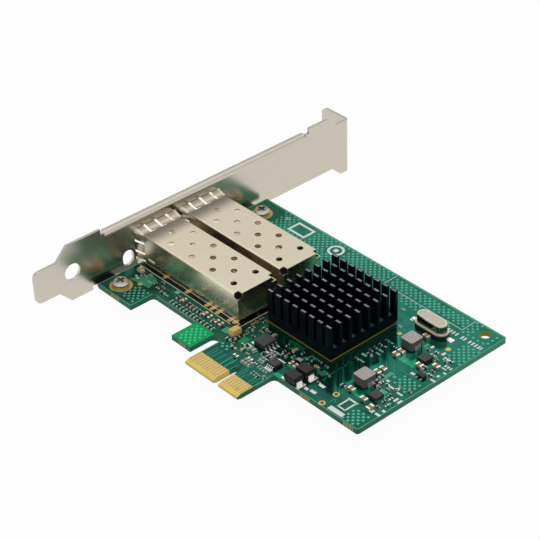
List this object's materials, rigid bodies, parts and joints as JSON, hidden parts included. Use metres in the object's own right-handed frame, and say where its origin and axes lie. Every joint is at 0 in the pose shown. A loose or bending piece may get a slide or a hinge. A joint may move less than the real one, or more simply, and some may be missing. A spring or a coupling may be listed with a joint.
{
  "type": "network interface card",
  "caption": "Plug-in computer network card with slotted bracket, fibre module cages and finned heat sink.",
  "frame": {"origin": "middle of the key notch of the edge connector, on its insertion edge, at the board's underside", "axes": "+X along the board away from the bracket, +Y from the edge connector to the bracket's tab, +Z out of the component side"},
  "size_m": [0.1104, 0.12, 0.0217],
  "materials": {
    "board_laminate": "green solder mask over glass laminate",
    "gold_plate": "gold plated copper",
    "bracket_steel": "nickel plated sheet, satin",
    "screw_steel": "nickel plated",
    "cage_metal": "bright nickel plated sheet",
    "connector_plastic": "black moulding",
    "substrate_laminate": "olive laminate",
    "chip_moulding": "black moulding",
    "diode_moulding": "black moulding",
    "thermal_filler": "grey filler",
    "black_anodised": "black anodised aluminium",
    "can_metal": "bright nickel",
    "tinned_metal": "tinned",
    "pressed_powder": "pressed metal powder",
    "capacitor_ceramic": "tan ceramic",
    "resistor_ceramic": "black film on ceramic",
    "tan_moulding": "tan moulding",
    "light_housing": "off-white moulding",
    "light_lens": "clear epoxy"
  },
  "bodies": {
    "root": {"bracket": "bracket_steel", "bracket_screws": "screw_steel", "cage_1_floor": "cage_metal", "cage_1_shell": "cage_metal", "cage_2_floor": "cage_metal", "cage_2_shell": "cage_metal", "capacitor_bodies": "capacitor_ceramic", "capacitor_ends": "tinned_metal", "circuit_board": "board_laminate", "controller_cap": "chip_moulding", "controller_substrate": "substrate_laminate", "crystal_base": "tinned_metal", "crystal_can": "can_metal", "crystal_leads": "tinned_metal", "diode_tabs": "tinned_metal", "edge_contacts": "gold_plate", "flash_chip": "chip_moulding", "flash_leads": "tinned_metal", "heat_sink": "black_anodised", "host_connector_1": "connector_plastic", "host_connector_2": "connector_plastic", "host_contacts_1": "gold_plate", "host_contacts_2": "gold_plate", "inductor_terminals": "tinned_metal", "port_light_body": "light_housing", "port_light_lens": "light_lens", "power_diodes": "diode_moulding", "power_inductors": "pressed_powder", "regulator_pads": "tinned_metal", "regulators": "chip_moulding", "resistor_bodies": "resistor_ceramic", "resistor_ends": "tinned_metal", "supervisor_chip": "chip_moulding", "supervisor_leads": "tinned_metal", "tantalum_capacitor": "tan_moulding", "tantalum_tabs": "tinned_metal", "thermal_pad": "thermal_filler"}
  },
  "joints": []
}
